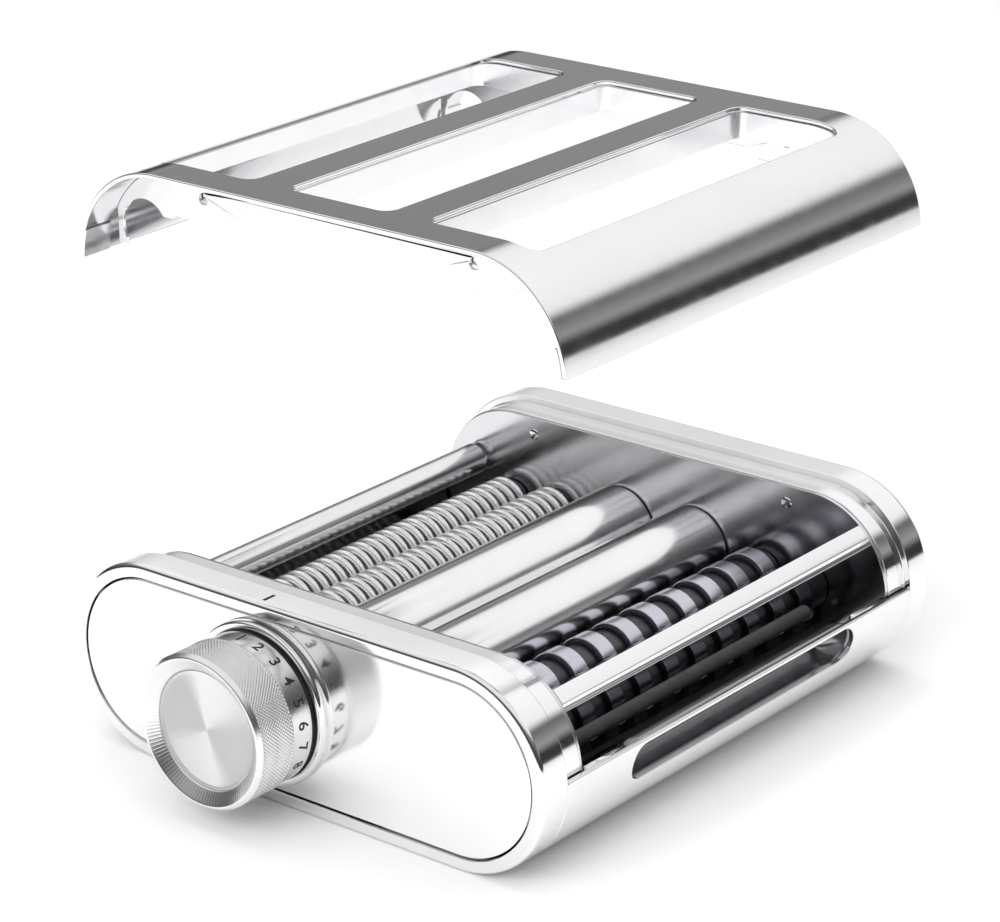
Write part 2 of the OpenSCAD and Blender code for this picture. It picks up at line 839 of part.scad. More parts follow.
front_end_cap();
front_face_panel();
front_wall_plate();
front_bushes();
front_detent_studs();
index_mark();
dial_base_ring();
rear_end_cap();
rear_face_panel();
rear_wall_plate();
rear_bushes();
rear_detent_studs();
hub_sleeve();
idler_pin();
lower_shell();
grip_pocket();
left_rail();
right_rail();
tie_rod_left();
tie_rod_right();
guard_rod();
spaghetti_comb_left();
spaghetti_comb_right();
fettuccine_comb_left();
fettuccine_comb_right();
scraper_left();
scraper_right();
drive_roller();
drive_shaft();
drive_pinion();
drive_gear();
idler_gear();
front_carrier();
rear_carrier();
carrier_link_bar();
adjustable_roller();
adjustable_shaft();
adjustable_gear();
spaghetti_cutter_left();
spaghetti_gear_left();
spaghetti_cutter_right();
spaghetti_gears_right();
fettuccine_cutter_left();
fettuccine_gears_left();
fettuccine_cutter_right();
fettuccine_gear_right();
dial_shaft();
dial_grip();
dial_face();
dial_scale();
cover_shell();
cover_rib_front();
cover_rib_rear();
feed_chute_left();
feed_chute_middle();
feed_chute_right();
cover_feet_left();
cover_feet_right();
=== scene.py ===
"""A pasta roller attachment: polished body, three pairs of rollers, thickness dial and a lifted cover.

Lengths in this file are millimetres until make() turns them into metres.
"""

import math

import bmesh
import bpy
from mathutils import Matrix, Vector, geometry

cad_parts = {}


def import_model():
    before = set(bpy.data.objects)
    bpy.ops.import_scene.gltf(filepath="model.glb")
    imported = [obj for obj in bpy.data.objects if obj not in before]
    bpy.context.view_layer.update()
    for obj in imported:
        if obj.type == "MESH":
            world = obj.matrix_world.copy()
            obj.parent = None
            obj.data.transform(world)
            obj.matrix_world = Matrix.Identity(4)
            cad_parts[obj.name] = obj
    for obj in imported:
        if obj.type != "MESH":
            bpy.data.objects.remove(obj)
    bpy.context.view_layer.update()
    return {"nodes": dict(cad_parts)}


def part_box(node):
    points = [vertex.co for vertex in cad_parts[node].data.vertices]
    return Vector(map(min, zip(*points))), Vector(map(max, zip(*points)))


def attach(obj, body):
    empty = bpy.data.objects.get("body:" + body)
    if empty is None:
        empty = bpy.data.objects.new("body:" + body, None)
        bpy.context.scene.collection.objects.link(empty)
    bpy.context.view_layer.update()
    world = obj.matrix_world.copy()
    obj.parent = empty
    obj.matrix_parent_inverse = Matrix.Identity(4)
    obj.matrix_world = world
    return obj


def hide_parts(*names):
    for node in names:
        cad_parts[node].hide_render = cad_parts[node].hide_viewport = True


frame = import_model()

MM = 0.001
TURN = 2 * math.pi


# ---------- places, read from the frame ----------

def box(node):
    """Lowest and highest corner of a CAD node, in millimetres."""
    lo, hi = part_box(node)
    return Vector(lo) / MM, Vector(hi) / MM


def middle_of(node):
    lo, hi = box(node)
    return (lo + hi) / 2


CAP_LO, CAP_HI = box("front_end_cap")
ROUND = CAP_HI.z / 2                   # radius of the body's rounded sides
SIDE = CAP_HI.x - ROUND                # x of each rounded side's centre
END = -CAP_LO.y                        # front and rear faces
PLATE_BACK = -CAP_HI.y
PLATE = -box("front_wall_plate")[1].y  # inner face of each wall plate
PLATE_R = box("front_wall_plate")[1].z - ROUND
SHELL_HI = box("lower_shell")[1]
BAND = SHELL_HI.y                      # inner edge of each outer band
SHELL_TOP = SHELL_HI.z
COVER_LO, COVER_HI = box("cover_shell")
LIFT = COVER_HI.z - 2 * ROUND          # how far the cover is held above its seat
PANEL_HI = box("front_face_panel")[1]
PANEL_R = PANEL_HI.z - ROUND
PANEL_GAP = 0.25                       # between each face panel and its cap's rim
SHEET = 1.4                            # steel of the cover and the finger pocket
SHELL_SHEET = 1.8                      # steel of the lower shell
STEP = 2.3                             # the shoulder is this much smaller than the band
RIM = 4.1                              # width of the rim round each face panel
RIM_BEVEL = 1.6
JOURNAL_R = 4.0
BUSH_HOLE_R = 6.05


# ---------- outlines ----------

def arc(cx, cy, r, start, end, steps):
    """Points on an arc, angles in degrees, anticlockwise when end is above start."""
    return [
        Vector((cx + r * math.cos(math.radians(a)), cy + r * math.sin(math.radians(a))))
        for a in (start + (end - start) * k / steps for k in range(steps + 1))
    ]


def rounded_rect(x0, y0, x1, y1, r, steps=8):
    """Anticlockwise rectangle with round corners."""
    corners = ((x1 - r, y1 - r, 0), (x0 + r, y1 - r, 90), (x0 + r, y0 + r, 180), (x1 - r, y0 + r, 270))
    return [p for x, y, a in corners for p in arc(x, y, r, a, a + 90, steps)]


def ring_of(x, y, r, steps=64):
    return arc(x, y, r, 0, 360 - 360 / steps, steps - 1)


def oval(r, steps=48):
    """Anticlockwise outline of the body at radius r, in x and z."""
    return arc(SIDE, ROUND, r, -90, 90, steps) + arc(-SIDE, ROUND, r, 90, 270, steps)


def hole(loop):
    """A loop walked the other way round, as the edge of a hole."""
    return loop[::-1]


def offset_loop(loop, d):
    """Moves a closed loop sideways by d, to the right of its direction."""
    out = []
    for i, p in enumerate(loop):
        out.append(p + miter(loop[i - 1], p, loop[(i + 1) % len(loop)]) * d)
    return out


def miter(before, p, after):
    """Vector that keeps both neighbouring edges one unit away when p moves by it."""
    a = (p - before).normalized()
    b = (after - p).normalized()
    na, nb = Vector((a.y, -a.x)), Vector((b.y, -b.x))
    return (na + nb) / max(0.35, 1 + na.dot(nb))


def inside(p, loop):
    """True if p lies in the closed loop."""
    found = False
    for a, b in zip(loop, loop[1:] + loop[:1]):
        if (a.y > p.y) != (b.y > p.y) and p.x < (b.x - a.x) * (p.y - a.y) / (b.y - a.y) + a.x:
            found = not found
    return found


# ---------- mesh building ----------

def make(name, verts, faces, body, material, slot=None, replaces=(), normals=None, bevel=0.0, angle=32):
    """A finished piece from points in millimetres. Without normals it gets evenly weighted ones."""
    mesh = bpy.data.meshes.new(name)
    mesh.from_pydata([Vector(v) * MM for v in verts], [], faces)
    if normals is None:
        bm = bmesh.new()
        bm.from_mesh(mesh)
        bmesh.ops.recalc_face_normals(bm, faces=bm.faces)
        bm.to_mesh(mesh)
        bm.free()
    mesh.polygons.foreach_set("use_smooth", [True] * len(mesh.polygons))
    if normals is not None:
        mesh.normals_split_custom_set_from_vertices(normals)
    mesh.materials.append(material)
    piece = bpy.data.objects.new(name, mesh)
    bpy.context.scene.collection.objects.link(piece)
    if bevel:
        soften(piece, bevel, angle)
    elif normals is None:
        even_shading(piece)
    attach(piece, body)
    if replaces:
        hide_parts(*replaces)
    return piece


def even_shading(piece):
    even = piece.modifiers.new("even_shading", "WEIGHTED_NORMAL")
    even.keep_sharp = True


def soften(piece, width, angle=32):
    """Rounds the sharp edges by width millimetres."""
    weld = piece.modifiers.new("weld", "WELD")
    weld.merge_threshold = 1e-6
    edge = piece.modifiers.new("soft_edges", "BEVEL")
    edge.width = width * MM
    edge.segments = 3
    edge.limit_method = "ANGLE"
    edge.angle_limit = math.radians(angle)
    even_shading(piece)


def skin(rings, closed):
    """Quads between rings of equal length; a ring of one point closes an end."""
    faces = []
    pairs = list(zip(rings, rings[1:]))
    if closed:
        pairs.append((rings[-1], rings[0]))
    for a, b in pairs:
        count = max(len(a), len(b))
        for k in range(count):
            j = (k + 1) % count
            corners = [a[k % len(a)], a[j % len(a)], b[j % len(b)], b[k % len(b)]]
            faces.append(list(dict.fromkeys(corners)))
    return faces


def lathe(profile, x, z, segments=128, closed=True, height=None):
    """Turns a profile of (y, radius) about an axis along Y. height(angle, y) lowers the surface."""
    verts, rings = [], []
    for y, r in profile:
        start = len(verts)
        if r < 1e-6:
            verts.append((x, y, z))
        else:
            for k in range(segments):
                a = TURN * k / segments
                rr = r - height(a, y) if height else r
                verts.append((x + rr * math.sin(a), y, z + rr * math.cos(a)))
        rings.append(list(range(start, len(verts))))
    return verts, skin(rings, closed)


def oval_lathe(profile, flip=1):
    """Sweeps a closed profile of (y, radius) around the body's outline."""
    verts, rings = [], []
    for y, r in profile:
        start = len(verts)
        verts += [(p.x, flip * y, p.y) for p in oval(r)]
        rings.append(list(range(start, len(verts))))
    return verts, skin(rings, True)


def prism(loop, y0, y1):
    """A flat outline in x and z, stretched from y0 to y1."""
    n = len(loop)
    verts = [(p.x, y, p.y) for y in (y0, y1) for p in loop]
    faces = [[k, (k + 1) % n, n + (k + 1) % n, n + k] for k in range(n)]
    return verts, faces + [list(range(n)), list(range(2 * n - 1, n - 1, -1))]


def round_profile(y0, y1, r, edge=0.4, steps=4):
    """Closed solid of revolution with rounded edges, from one end's centre to the other's."""
    front = [(y0 + edge * (1 - math.sin(t)), r - edge * (1 - math.cos(t))) for t in quarter(steps)]
    back = [(y1 - edge * (1 - math.cos(t)), r - edge * (1 - math.sin(t))) for t in quarter(steps)]
    return [(y0, 0)] + front[::-1] + back[::-1] + [(y1, 0)]


def quarter(steps):
    return [math.pi / 2 * k / steps for k in range(steps + 1)]


def plate_at(y, facing):
    """Placing rule of a flat plate across Y. facing is -1 towards the front and 1 towards the rear."""
    def place(u, v, depth):
        spot = Vector((-facing * u, y - facing * depth, v))
        return spot, Vector((-facing, 0, 0)), Vector((0, 0, 1)), Vector((0, facing, 0))
    return place


def wrapped(lift=0.0, upside_down=False):
    """Placing rule of sheet formed round the body: u runs round it from the middle, v along Y."""
    flip = -1 if upside_down else 1

    def place(u, v, depth):
        side = 1 if u >= 0 else -1
        a = max(0.0, abs(u) - SIDE) / ROUND
        out = Vector((side * math.sin(a), 0, flip * math.cos(a)))
        centre = Vector((side * min(abs(u), SIDE), 0, ROUND + lift))
        along = Vector((math.cos(a), 0, -flip * side * math.sin(a)))
        spot = centre + out * (ROUND - depth) + Vector((0, flip * v, 0))
        return spot, along, Vector((0, flip, 0)), out
    return place


def bend_lines(reach, half):
    """Lines along the rounded sides, close enough together to follow the curve."""
    step = math.radians(2) * ROUND
    count = int((reach - SIDE) / step)
    at = [side * (SIDE + k * step) for k in range(count + 1) for side in (-1, 1)]
    return [(Vector((u, -half - 1)), Vector((u, half + 1))) for u in at]


def cut_sheet(outer, holes, place, thick, edge, lines=(), steps=3):
    """Sheet with holes and rounded edges. Returns points, faces and exact normals."""
    loops = [offset_loop(loop, -edge) for loop in [outer, *holes]]
    points, edges = [], []
    for loop in loops:
        start = len(points)
        points += loop
        edges += [(start + k, start + (k + 1) % len(loop)) for k in range(len(loop))]
    for a, b in lines:
        edges.append((len(points), len(points) + 1))
        points += [a, b]
    flat, _, tris = geometry.delaunay_2d_cdt(points, edges, [], 0, 1e-5)[:3]
    kept = []
    for t in tris:
        middle = sum((flat[k] for k in t), Vector((0, 0))) / len(t)
        if inside(middle, loops[0]) and not any(inside(middle, h) for h in loops[1:]):
            kept.append(list(t))
    used = sorted({k for t in kept for k in t})
    number = {k: i for i, k in enumerate(used)}
    flat = [flat[k] for k in used]
    kept = [[number[k] for k in t] for t in kept]

    verts, normals = [], []

    def add(p, depth, lean=None, out=0.0, face=1.0):
        spot, along_u, along_v, up = place(p.x, p.y, depth)
        verts.append(spot)
        side = (along_u * lean.x + along_v * lean.y).normalized() if lean else up * 0
        normals.append((up * face + side * out).normalized())

    for p in flat:
        add(p, 0)
    for p in flat:
        add(p, thick, face=-1.0)
    count = len(flat)
    faces = kept + [[k + count for k in reversed(t)] for t in kept]

    directed = {(t[i], t[(i + 1) % len(t)]) for t in kept for i in range(len(t))}
    follow = {a: b for a, b in directed if (b, a) not in directed}
    while follow:
        loop = [next(iter(sorted(follow)))]
        while loop[-1] in follow:
            loop.append(follow.pop(loop[-1]))
        loop.pop()
        leans = [
            miter(flat[loop[i - 1]], flat[k], flat[loop[(i + 1) % len(loop)]])
            for i, k in enumerate(loop)
        ]
        rings = [loop]
        turns = [(math.sin(t), 1 - math.cos(t), t) for t in quarter(steps)[1:]]
        for reach, depth, t in turns:
            start = len(verts)
            for k, lean in zip(loop, leans):
                add(flat[k] + lean * edge * reach, edge * depth, lean, math.sin(t), math.cos(t))
            rings.append(list(range(start, len(verts))))
        for reach, depth, t in turns[::-1]:
            start = len(verts)
            for k, lean in zip(loop, leans):
                add(flat[k] + lean * edge * reach, thick - edge * depth, lean, math.sin(t), -math.cos(t))
            rings.append(list(range(start, len(verts))))
        rings.append([k + count for k in loop])
        faces += [f[::-1] for f in skin(rings, False)]
    return verts, faces, normals


# ---------- materials ----------

def nodes_of(name):
    material = bpy.data.materials.new(name)
    material.use_nodes = True
    tree = material.node_tree
    return material, tree, tree.nodes["Principled BSDF"]


def link(tree, a, out, b, into):
    tree.links.new(a.outputs[out], b.inputs[into])


def noise(tree, scale, stretch=(1, 1, 1), detail=3.0):
    """Noise in object space, stretched along an axis for brushed marks."""
    coords = tree.nodes.new("ShaderNodeTexCoord")
    mapping = tree.nodes.new("ShaderNodeMapping")
    mapping.inputs["Scale"].default_value = stretch
    texture = tree.nodes.new("ShaderNodeTexNoise")
    texture.inputs["Scale"].default_value = scale
    texture.inputs["Detail"].default_value = detail
    link(tree, coords, "Object", mapping, "Vector")
    link(tree, mapping, "Vector", texture, "Vector")
    return texture


def spread(tree, source, low, high):
    """Maps a 0 to 1 value to low to high."""
    span = tree.nodes.new("ShaderNodeMapRange")
    span.inputs["From Min"].default_value = 0.3
    span.inputs["From Max"].default_value = 0.7
    span.inputs["To Min"].default_value = low
    span.inputs["To Max"].default_value = high
    link(tree, source, "Fac", span, "Value")
    return span


def tint(tree, source, dark, light):
    ramp = tree.nodes.new("ShaderNodeValToRGB")
    ramp.color_ramp.elements[0].position = 0.3
    ramp.color_ramp.elements[1].position = 0.7
    ramp.color_ramp.elements[0].color = (*dark, 1)
    ramp.color_ramp.elements[1].color = (*light, 1)
    link(tree, source, "Fac", ramp, "Fac")
    return ramp


def bump(tree, source, shader, height, distance=0.00004):
    bumped = tree.nodes.new("ShaderNodeBump")
    bumped.inputs["Strength"].default_value = height
    bumped.inputs["Distance"].default_value = distance
    link(tree, source, "Fac", bumped, "Height")
    link(tree, bumped, "Normal", shader, "Normal")


def metal(name, shade, rough, wear=0.03, grain=0.0, grain_stretch=(1, 1, 1), grain_scale=900.0):
    """Metal whose gloss and tone vary a little, with optional brushed grain."""
    material, tree, shader = nodes_of(name)
    shader.inputs["Metallic"].default_value = 1.0
    cloud = noise(tree, 35.0)
    tone = tint(tree, cloud, [c * 0.97 for c in shade], shade)
    link(tree, tone, "Color", shader, "Base Color")
    gloss = spread(tree, noise(tree, 160.0, grain_stretch), rough - wear / 2, rough + wear)
    link(tree, gloss, "Result", shader, "Roughness")
    if grain:
        bump(tree, noise(tree, grain_scale, grain_stretch, 6.0), shader, grain)
    return material


def cap_metal():
    """Cast cap: satin on its flat top, polished round its sides and along its rim."""
    material, tree, shader = nodes_of("cap_metal")
    coords = tree.nodes.new("ShaderNodeTexCoord")
    split = tree.nodes.new("ShaderNodeSeparateXYZ")
    link(tree, coords, "Object", split, "Vector")
    height = between(tree, split.outputs["Z"], (2 * ROUND - 6) * MM, (2 * ROUND - 1) * MM)
    along = tree.nodes.new("ShaderNodeMath")
    along.operation = "ABSOLUTE"
    link(tree, split, "Y", along, "Value")
    clear = between(tree, along.outputs["Value"], (END - 1.0) * MM, (END - 1.6) * MM)
    satin = tree.nodes.new("ShaderNodeMath")
    satin.operation = "MULTIPLY"
    tree.links.new(height, satin.inputs[0])
    tree.links.new(clear, satin.inputs[1])
    tree.links.new(between(tree, satin.outputs["Value"], 0, 1, 1.0, 0.25), shader.inputs["Metallic"])
    tree.links.new(between(tree, satin.outputs["Value"], 0, 1, 0.10, 0.24), shader.inputs["Roughness"])
    tone = tint(tree, noise(tree, 35.0), (0.85, 0.85, 0.86), (0.89, 0.89, 0.90))
    link(tree, tone, "Color", shader, "Base Color")
    bump(tree, noise(tree, 500.0, (1, 22, 22), 6.0), shader, 0.03)
    return material


def between(tree, value, start, end, low=0.0, high=1.0):
    """Maps a value from start to end onto low to high."""
    span = tree.nodes.new("ShaderNodeMapRange")
    span.inputs["From Min"].default_value = start
    span.inputs["From Max"].default_value = end
    span.inputs["To Min"].default_value = low
    span.inputs["To Max"].default_value = high
    tree.links.new(value, span.inputs["Value"])
    return span.outputs["Result"]


def spun_metal():
    """Turned disc: gloss stretched round the centre."""
    material, tree, shader = nodes_of("spun_disc")
    shader.inputs["Metallic"].default_value = 1.0
    shader.inputs["Anisotropic"].default_value = 0.95
    shader.inputs["Roughness"].default_value = 0.48
    tangent = tree.nodes.new("ShaderNodeTangent")
    tangent.direction_type = "RADIAL"
    tangent.axis = "Y"
    link(tree, tangent, "Tangent", shader, "Tangent")
    tone = tint(tree, noise(tree, 60.0), (0.90, 0.90, 0.91), (0.94, 0.94, 0.95))
    link(tree, tone, "Color", shader, "Base Color")
    return material


def plastic(name, dark, light, rough):
    material, tree, shader = nodes_of(name)
    tone = tint(tree, noise(tree, 220.0), dark, light)
    link(tree, tone, "Color", shader, "Base Color")
    gloss = spread(tree, noise(tree, 700.0), rough - 0.05, rough + 0.08)
    link(tree, gloss, "Result", shader, "Roughness")
    bump(tree, noise(tree, 2500.0), shader, 0.25)
    return material


def matte(name, dark, light):
    material, tree, shader = nodes_of(name)
    tone = tint(tree, noise(tree, 3.0), dark, light)
    link(tree, tone, "Color", shader, "Base Color")
    shader.inputs["Roughness"].default_value = 0.9
    return material


POLISHED = metal("polished_steel", (0.86, 0.86, 0.87), 0.07)
COVER_STEEL = metal("cover_steel", (0.84, 0.84, 0.85), 0.13, 0.03)
CAP_METAL = cap_metal()
PANEL_METAL = metal("face_panel", (0.97, 0.97, 0.97), 0.12, 0.02)
MIRROR = metal("wall_mirror", (0.74, 0.74, 0.76), 0.17, 0.03)
ROLLER_STEEL = metal("roller_steel", (0.86, 0.86, 0.87), 0.15, 0.03)
CUTTER_STEEL = metal("cutter_steel", (0.60, 0.59, 0.66), 0.22, 0.05)
RIDGE_STEEL = metal("ridge_steel", (0.96, 0.96, 0.96), 0.27, 0.03)
TUBE_STEEL = metal("tube_steel", (0.82, 0.82, 0.83), 0.20, 0.04)
# Near-black core colour: painted shade in the grooves between the spaghetti ridges.
SHADED_RIDGE_CORE = metal("ridge_core_painted_shade", (0.10, 0.10, 0.11), 0.32, 0.08)
# Near-black core colour: painted shade in the grooves between the fettuccine discs.
SHADED_DISC_CORE = metal("disc_core_painted_shade", (0.10, 0.10, 0.11), 0.35, 0.08)
# Darker copy of cutter_steel: painted shade on the right fettuccine row, which sits under the right strip.
SHADED_CUTTER = metal("cutter_painted_shade", (0.22, 0.21, 0.25), 0.24, 0.05)
CHUTE_STEEL = metal("chute_steel", (0.92, 0.92, 0.93), 0.22, 0.05)
RIB_STEEL = metal("rib_steel", (0.84, 0.84, 0.85), 0.20, 0.06)
# Dark grey colour: painted shade inside the recessed finger pocket.
SHADED_POCKET = metal("pocket_steel", (0.34, 0.34, 0.35), 0.20, 0.05)
MACHINED = metal("machined_steel", (0.62, 0.62, 0.63), 0.30, 0.08, 0.2, (1, 20, 1))
BRONZE = metal("bronze_bush", (0.72, 0.50, 0.27), 0.32, 0.08)
DIAL_METAL = metal("dial_metal", (0.88, 0.88, 0.89), 0.22, 0.05)
SCALE_METAL = metal("scale_metal", (0.80, 0.80, 0.81), 0.20, 0.05, 0.1, (1, 30, 1))
SPUN = spun_metal()
DARK_ROD = plastic("dark_rod", (0.028, 0.028, 0.030), (0.045, 0.045, 0.048), 0.45)
COMB_PLASTIC = plastic("comb_plastic", (0.022, 0.022, 0.024), (0.035, 0.035, 0.038), 0.5)
INK = plastic("dial_ink", (0.010, 0.010, 0.011), (0.018, 0.018, 0.019), 0.5)
SEAL = plastic("seal_rubber", (0.008, 0.008, 0.009), (0.014, 0.014, 0.015), 0.6)


# ---------- housing ----------

def end_cap(name, node, flip):
    """Cast end cap: rounded rim, outer band, stepped shoulder."""
    back = PLATE_BACK
    rim_in = ROUND - RIM
    band = ROUND - RIM_BEVEL
    small = 0.35
    shoulder = ROUND - STEP
    ledge = -PANEL_HI.y
    inner = rim_in - 1.5
    profile = [(-ledge, inner), (-ledge, rim_in), (-END + small, rim_in)]
    profile += [(-END + small * (1 - math.sin(t)), rim_in + small * (1 - math.cos(t))) for t in quarter(3)[1:]]
    profile += [(-END + RIM_BEVEL * (1 - math.cos(t)), band + RIM_BEVEL * math.sin(t)) for t in quarter(6)]
    profile += [(-BAND - small * (1 - math.sin(t)), ROUND - small * (1 - math.cos(t))) for t in quarter(3)]
    profile += [(-BAND, shoulder + small)]
    profile += [(-BAND + small * (1 - math.cos(t)), shoulder + small * (1 - math.sin(t))) for t in quarter(3)[1:]]
    profile += [(-back - small * (1 - math.sin(t)), shoulder - small * (1 - math.cos(t))) for t in quarter(3)]
    profile += [(-back, inner)]
    verts, faces = oval_lathe(profile, flip)
    make(name, verts, faces, "housing", CAP_METAL, "cap_metal", (node,))


def face_panel(name, node, facing):
    """Polished panel set into an end cap, with a hole for its shaft."""
    lo, hi = box(node)
    front = lo.y if facing < 0 else hi.y
    x, radius = (DIAL_X, 6.0) if facing < 0 else (middle_of("hub_sleeve").x, 7.0)
    holes = [hole(ring_of(-facing * x, ROUND, radius))]
    outer = oval(PANEL_R - PANEL_GAP)
    verts, faces, normals = cut_sheet(outer, holes, plate_at(front, facing), hi.y - lo.y, 0.35)
    make(name, verts, faces, "housing", PANEL_METAL, "face_panel", (node,), normals)


def wall_plate(name, node, facing):
    """Mirror-polished plate behind the rollers' ends."""
    lo, hi = box(node)
    front = hi.y if facing > 0 else lo.y
    flip = -facing
    holes = [hole(ring_of(flip * x, z, BUSH_HOLE_R)) for x, z in JOURNALS]
    for z, r in ((ROUND, 4.4), (LINK_Z, 2.6)):
        ends = sorted((flip * ADJUST_X, flip * (ADJUST_X + GAP_TRAVEL)))
        holes.append(hole(arc(ends[1], z, r, -90, 90, 16) + arc(ends[0], z, r, 90, 270, 16)))
    verts, faces, normals = cut_sheet(oval(PLATE_R), holes, plate_at(front, facing), hi.y - lo.y, 0.25)
    make(name, verts, faces, "housing", MIRROR, "mirror_plate", (node,), normals)


def studs(name, node, facing):
    """Two small domes that the cover's end ribs snap over."""
    lo, hi = box(node)
    height = hi.y - lo.y
    z = (lo.z + hi.z) / 2
    r = (hi.z - lo.z) / 2
    verts, faces = [], []
    for x in (lo.x + r, hi.x - r):
        base = PLATE * -facing
        dome = [(base + facing * height * math.cos(t), r * math.sin(t)) for t in quarter(6)]
        v, f = lathe([*dome, (base, 0)], x, z, 32, closed=False)
        faces += [[k + len(verts) for k in face] for face in f]
        verts += v
    make(name, verts, faces, "housing", POLISHED, "mirror_plate", (node,))


def lower_shell():
    """Formed sheet under the rollers with a finger window, three outlets and turned-in hems."""
    reach = SIDE + ROUND * (math.pi / 2 + math.asin((SHELL_TOP - ROUND) / ROUND))
    half = BAND - 0.1
    outer = rounded_rect(-reach, -half, reach, half, 0.8)
    pocket_lo, pocket_hi = box("grip_pocket")
    top, bottom = pocket_hi.z - SHEET, pocket_lo.z + SHEET
    u0 = SIDE + ROUND * math.acos((ROUND - bottom) / ROUND)
    u1 = SIDE + ROUND * math.acos((ROUND - top) / ROUND)
    window = pocket_hi.y - SHEET
    holes = [hole(rounded_rect(u0, -window, u1, window, (u1 - u0) / 2 - 0.01, 12))]
    outlet_x, outlet_y, corner = 14, 69.5, 5
    for x in (-SLOT_X, 0, SLOT_X):
        holes.append(hole(rounded_rect(x - outlet_x, -outlet_y, x + outlet_x, outlet_y, corner)))
    place = wrapped(upside_down=True)
    verts, faces, normals = cut_sheet(outer, holes, place, SHELL_SHEET, 0.45, bend_lines(reach, half))
    make("lower_shell_formed", verts, faces, "housing", POLISHED, "shell_steel", ("lower_shell",), normals)
    length = PLATE - 1
    gap = pocket_hi.y + 0.2
    hem_x, hem_half, hem_h = SIDE + ROUND - 2.5, 1, 3
    for side, y0, y1, label in (
        (-1, -length, length, "left"),
        (1, -length, -gap, "right_front"),
        (1, gap, length, "right_rear"),
    ):
        x = side * hem_x
        verts, faces = prism(rounded_rect(x - hem_half, SHELL_TOP - hem_h, x + hem_half, SHELL_TOP, 0.5, 4), y0, y1)
        make(f"shell_hem_{label}", verts, faces, "housing", POLISHED, "shell_steel")


def grip_pocket():
    """Scooped finger pocket behind the window, its dark grey colour painted shade for the recess."""
    lo, hi = box("grip_pocket")
    middle = (lo.z + hi.z) / 2
    top = (hi.z - lo.z) / 2 - SHEET + 0.2
    half = hi.y - SHEET + 0.2
    depth = 7.0
    shell_inner = ROUND - SHELL_SHEET - 0.1
    around = 96
    verts, rings = [], []
    for wall in (0.0, 0.9):
        for t in (quarter(10) if wall == 0 else quarter(10)[::-1]):
            inset = (top - 0.6) * (1 - math.cos(t))
            start = len(verts)
            r = top - inset + wall
            for k in range(around):
                a = TURN * k / around
                y = (half - top) * (1 if math.cos(a) >= 0 else -1) + r * math.cos(a)
                z = middle + r * math.sin(a)
                mouth = SIDE + math.sqrt(shell_inner ** 2 - (middle + (top + wall) * math.sin(a) - ROUND) ** 2)
                verts.append((mouth - (depth + wall) * math.sin(t), y, z))
            rings.append(list(range(start, len(verts))))
    faces = skin(rings, True)
    inner, outer = rings[10], rings[11]
    faces = [f for f in faces if not (set(f) & set(inner) and set(f) & set(outer))]
    faces += [inner, outer[::-1]]
    make("grip_pocket_scoop", verts, faces, "housing", SHADED_POCKET, "pocket_steel", ("grip_pocket",))


def rails():
    """Round tube on the left, bent strip with a joggled lip on the right, and the rods below."""
    lo, hi = box("left_rail")
    r = (hi.z - lo.z) / 2
    x, z = (lo.x + hi.x) / 2, (lo.z + hi.z) / 2
    collar = 2.2
    profile = [(lo.y, 0), (lo.y, r - 0.3), (lo.y + collar, r - 0.3), (lo.y + collar + 0.3, r)]
    profile += [(hi.y - collar - 0.3, r), (hi.y - collar, r - 0.3), (hi.y, r - 0.3), (hi.y, 0)]
    make("left_tube", *lathe(profile, x, z, 96, False), "housing", TUBE_STEEL, "rail_steel", ("left_rail",))

    outer = ROUND - STEP - 0.2
    loop = arc(SIDE, ROUND, outer, 40.4, 50.5, 8) + arc(SIDE, ROUND, outer - 1.2, 50.5, 41.2, 8)
    loop += arc(SIDE, ROUND, outer - 2, 38.6, 36, 3) + arc(SIDE, ROUND, outer - 0.8, 36, 38.8, 3)
    make("right_strip", *prism(loop, -PLATE, PLATE), "housing", POLISHED, "rail_steel", ("right_rail",), bevel=0.22)

    for node, material, slot in (
        ("tie_rod_left", POLISHED, "rail_steel"),
        ("tie_rod_right", POLISHED, "rail_steel"),
        ("guard_rod", DARK_ROD, "dark_rod"),
    ):
        lo, hi = box(node)
        profile = round_profile(lo.y, hi.y, (hi.z - lo.z) / 2, 0.9)
        verts, faces = lathe(profile, (lo.x + hi.x) / 2, (lo.z + hi.z) / 2, 64, False)
        make(node + "_turned", verts, faces, "housing", material, slot, (node,))


def hub():
    """Round hub that enters the mixer, with a rolled lip and a locating groove."""
    lo, hi = box("hub_sleeve")
    r = (hi.x - lo.x) / 2
    x = (hi.x + lo.x) / 2
    bore = 6.1
    profile = [(lo.y, bore), (lo.y, r), (lo.y + 3.0, r), (lo.y + 3.4, r - 0.5), (lo.y + 4.8, r - 0.5)]
    profile += [(lo.y + 5.2, r), (hi.y - 0.8, r), (hi.y - 0.3, r - 0.25), (hi.y, r - 0.8)]
    profile += [(hi.y, bore + 0.5), (hi.y - 0.5, bore)]
    make("hub_turned", *lathe(profile, x, ROUND, 128), "housing", POLISHED, "chrome_trim", ("hub_sleeve",))


# ---------- rollers ----------

def smooth_roller(name, node, body):
    lo, hi = box(node)
    r = (hi.z - lo.z) / 2
    edge = 0.5
    bore = r - 2.5
    profile = [(lo.y, bore), (lo.y, r - edge), (lo.y + edge * 0.3, r - edge * 0.3), (lo.y + edge, r)]
    profile += [(y, r) for y in (lo.y + 2, hi.y - 2)]
    profile += [(hi.y - edge, r), (hi.y - edge * 0.3, r - edge * 0.3), (hi.y, r - edge), (hi.y, bore)]
    verts, faces = lathe(profile, (lo.x + hi.x) / 2, ROUND, 192)
    make(name, verts, faces, body, ROLLER_STEEL, "roller_steel", (node,))


